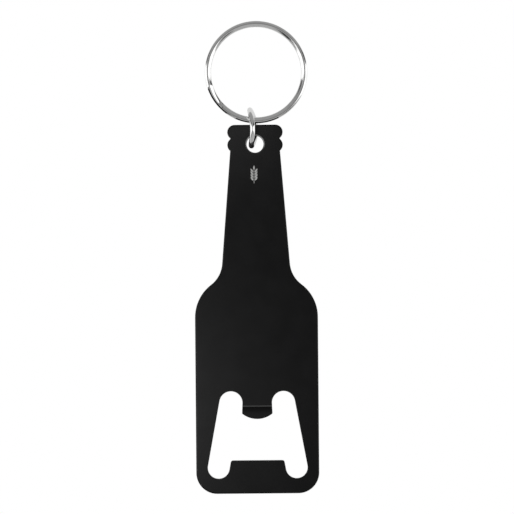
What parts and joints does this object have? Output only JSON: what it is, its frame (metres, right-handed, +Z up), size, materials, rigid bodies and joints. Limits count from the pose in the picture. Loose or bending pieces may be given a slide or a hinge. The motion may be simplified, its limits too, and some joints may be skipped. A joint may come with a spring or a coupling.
{
  "type": "keychain bottle opener",
  "caption": "Flat bottle-shaped crown-cap opener plate hanging from a wire link on a double-coil split key ring; the plate and the link both swing.",
  "frame": {"origin": "middle of the split ring's eye, where keys or a hook hang", "axes": "+Z up, from the plate's foot to its crown, with the object hanging; the front face, with the coined tongue, looks along -Y; +X to the right seen from the front"},
  "size_m": [0.03, 0.01, 0.1153],
  "materials": {
    "black_anodised_plate": "satin black anodised sheet with a fine grain, slightly worn on its rounded edges",
    "nickel_link_wire": "bright nickel-plated round steel wire with fine rub marks",
    "nickel_ring_wire": "bright nickel-plated oval spring wire with fine rub marks"
  },
  "bodies": {
    "key_ring": {"split_ring": "nickel_ring_wire"},
    "link": {"jump_ring": "nickel_link_wire"},
    "opener": {"opener_plate": "black_anodised_plate"}
  },
  "joints": [
    {"name": "link_swing", "type": "hinge", "parent": "key_ring", "child": "link", "pos_m": [0, 0, -0.011], "axis": [1, 0, 0], "range_deg": [-80, 80]},
    {"name": "opener_swing", "type": "hinge", "parent": "link", "child": "opener", "pos_m": [-0.0004, 0, -0.0143], "axis": [1, 0, 0], "range_deg": [-85, 85]}
  ]
}
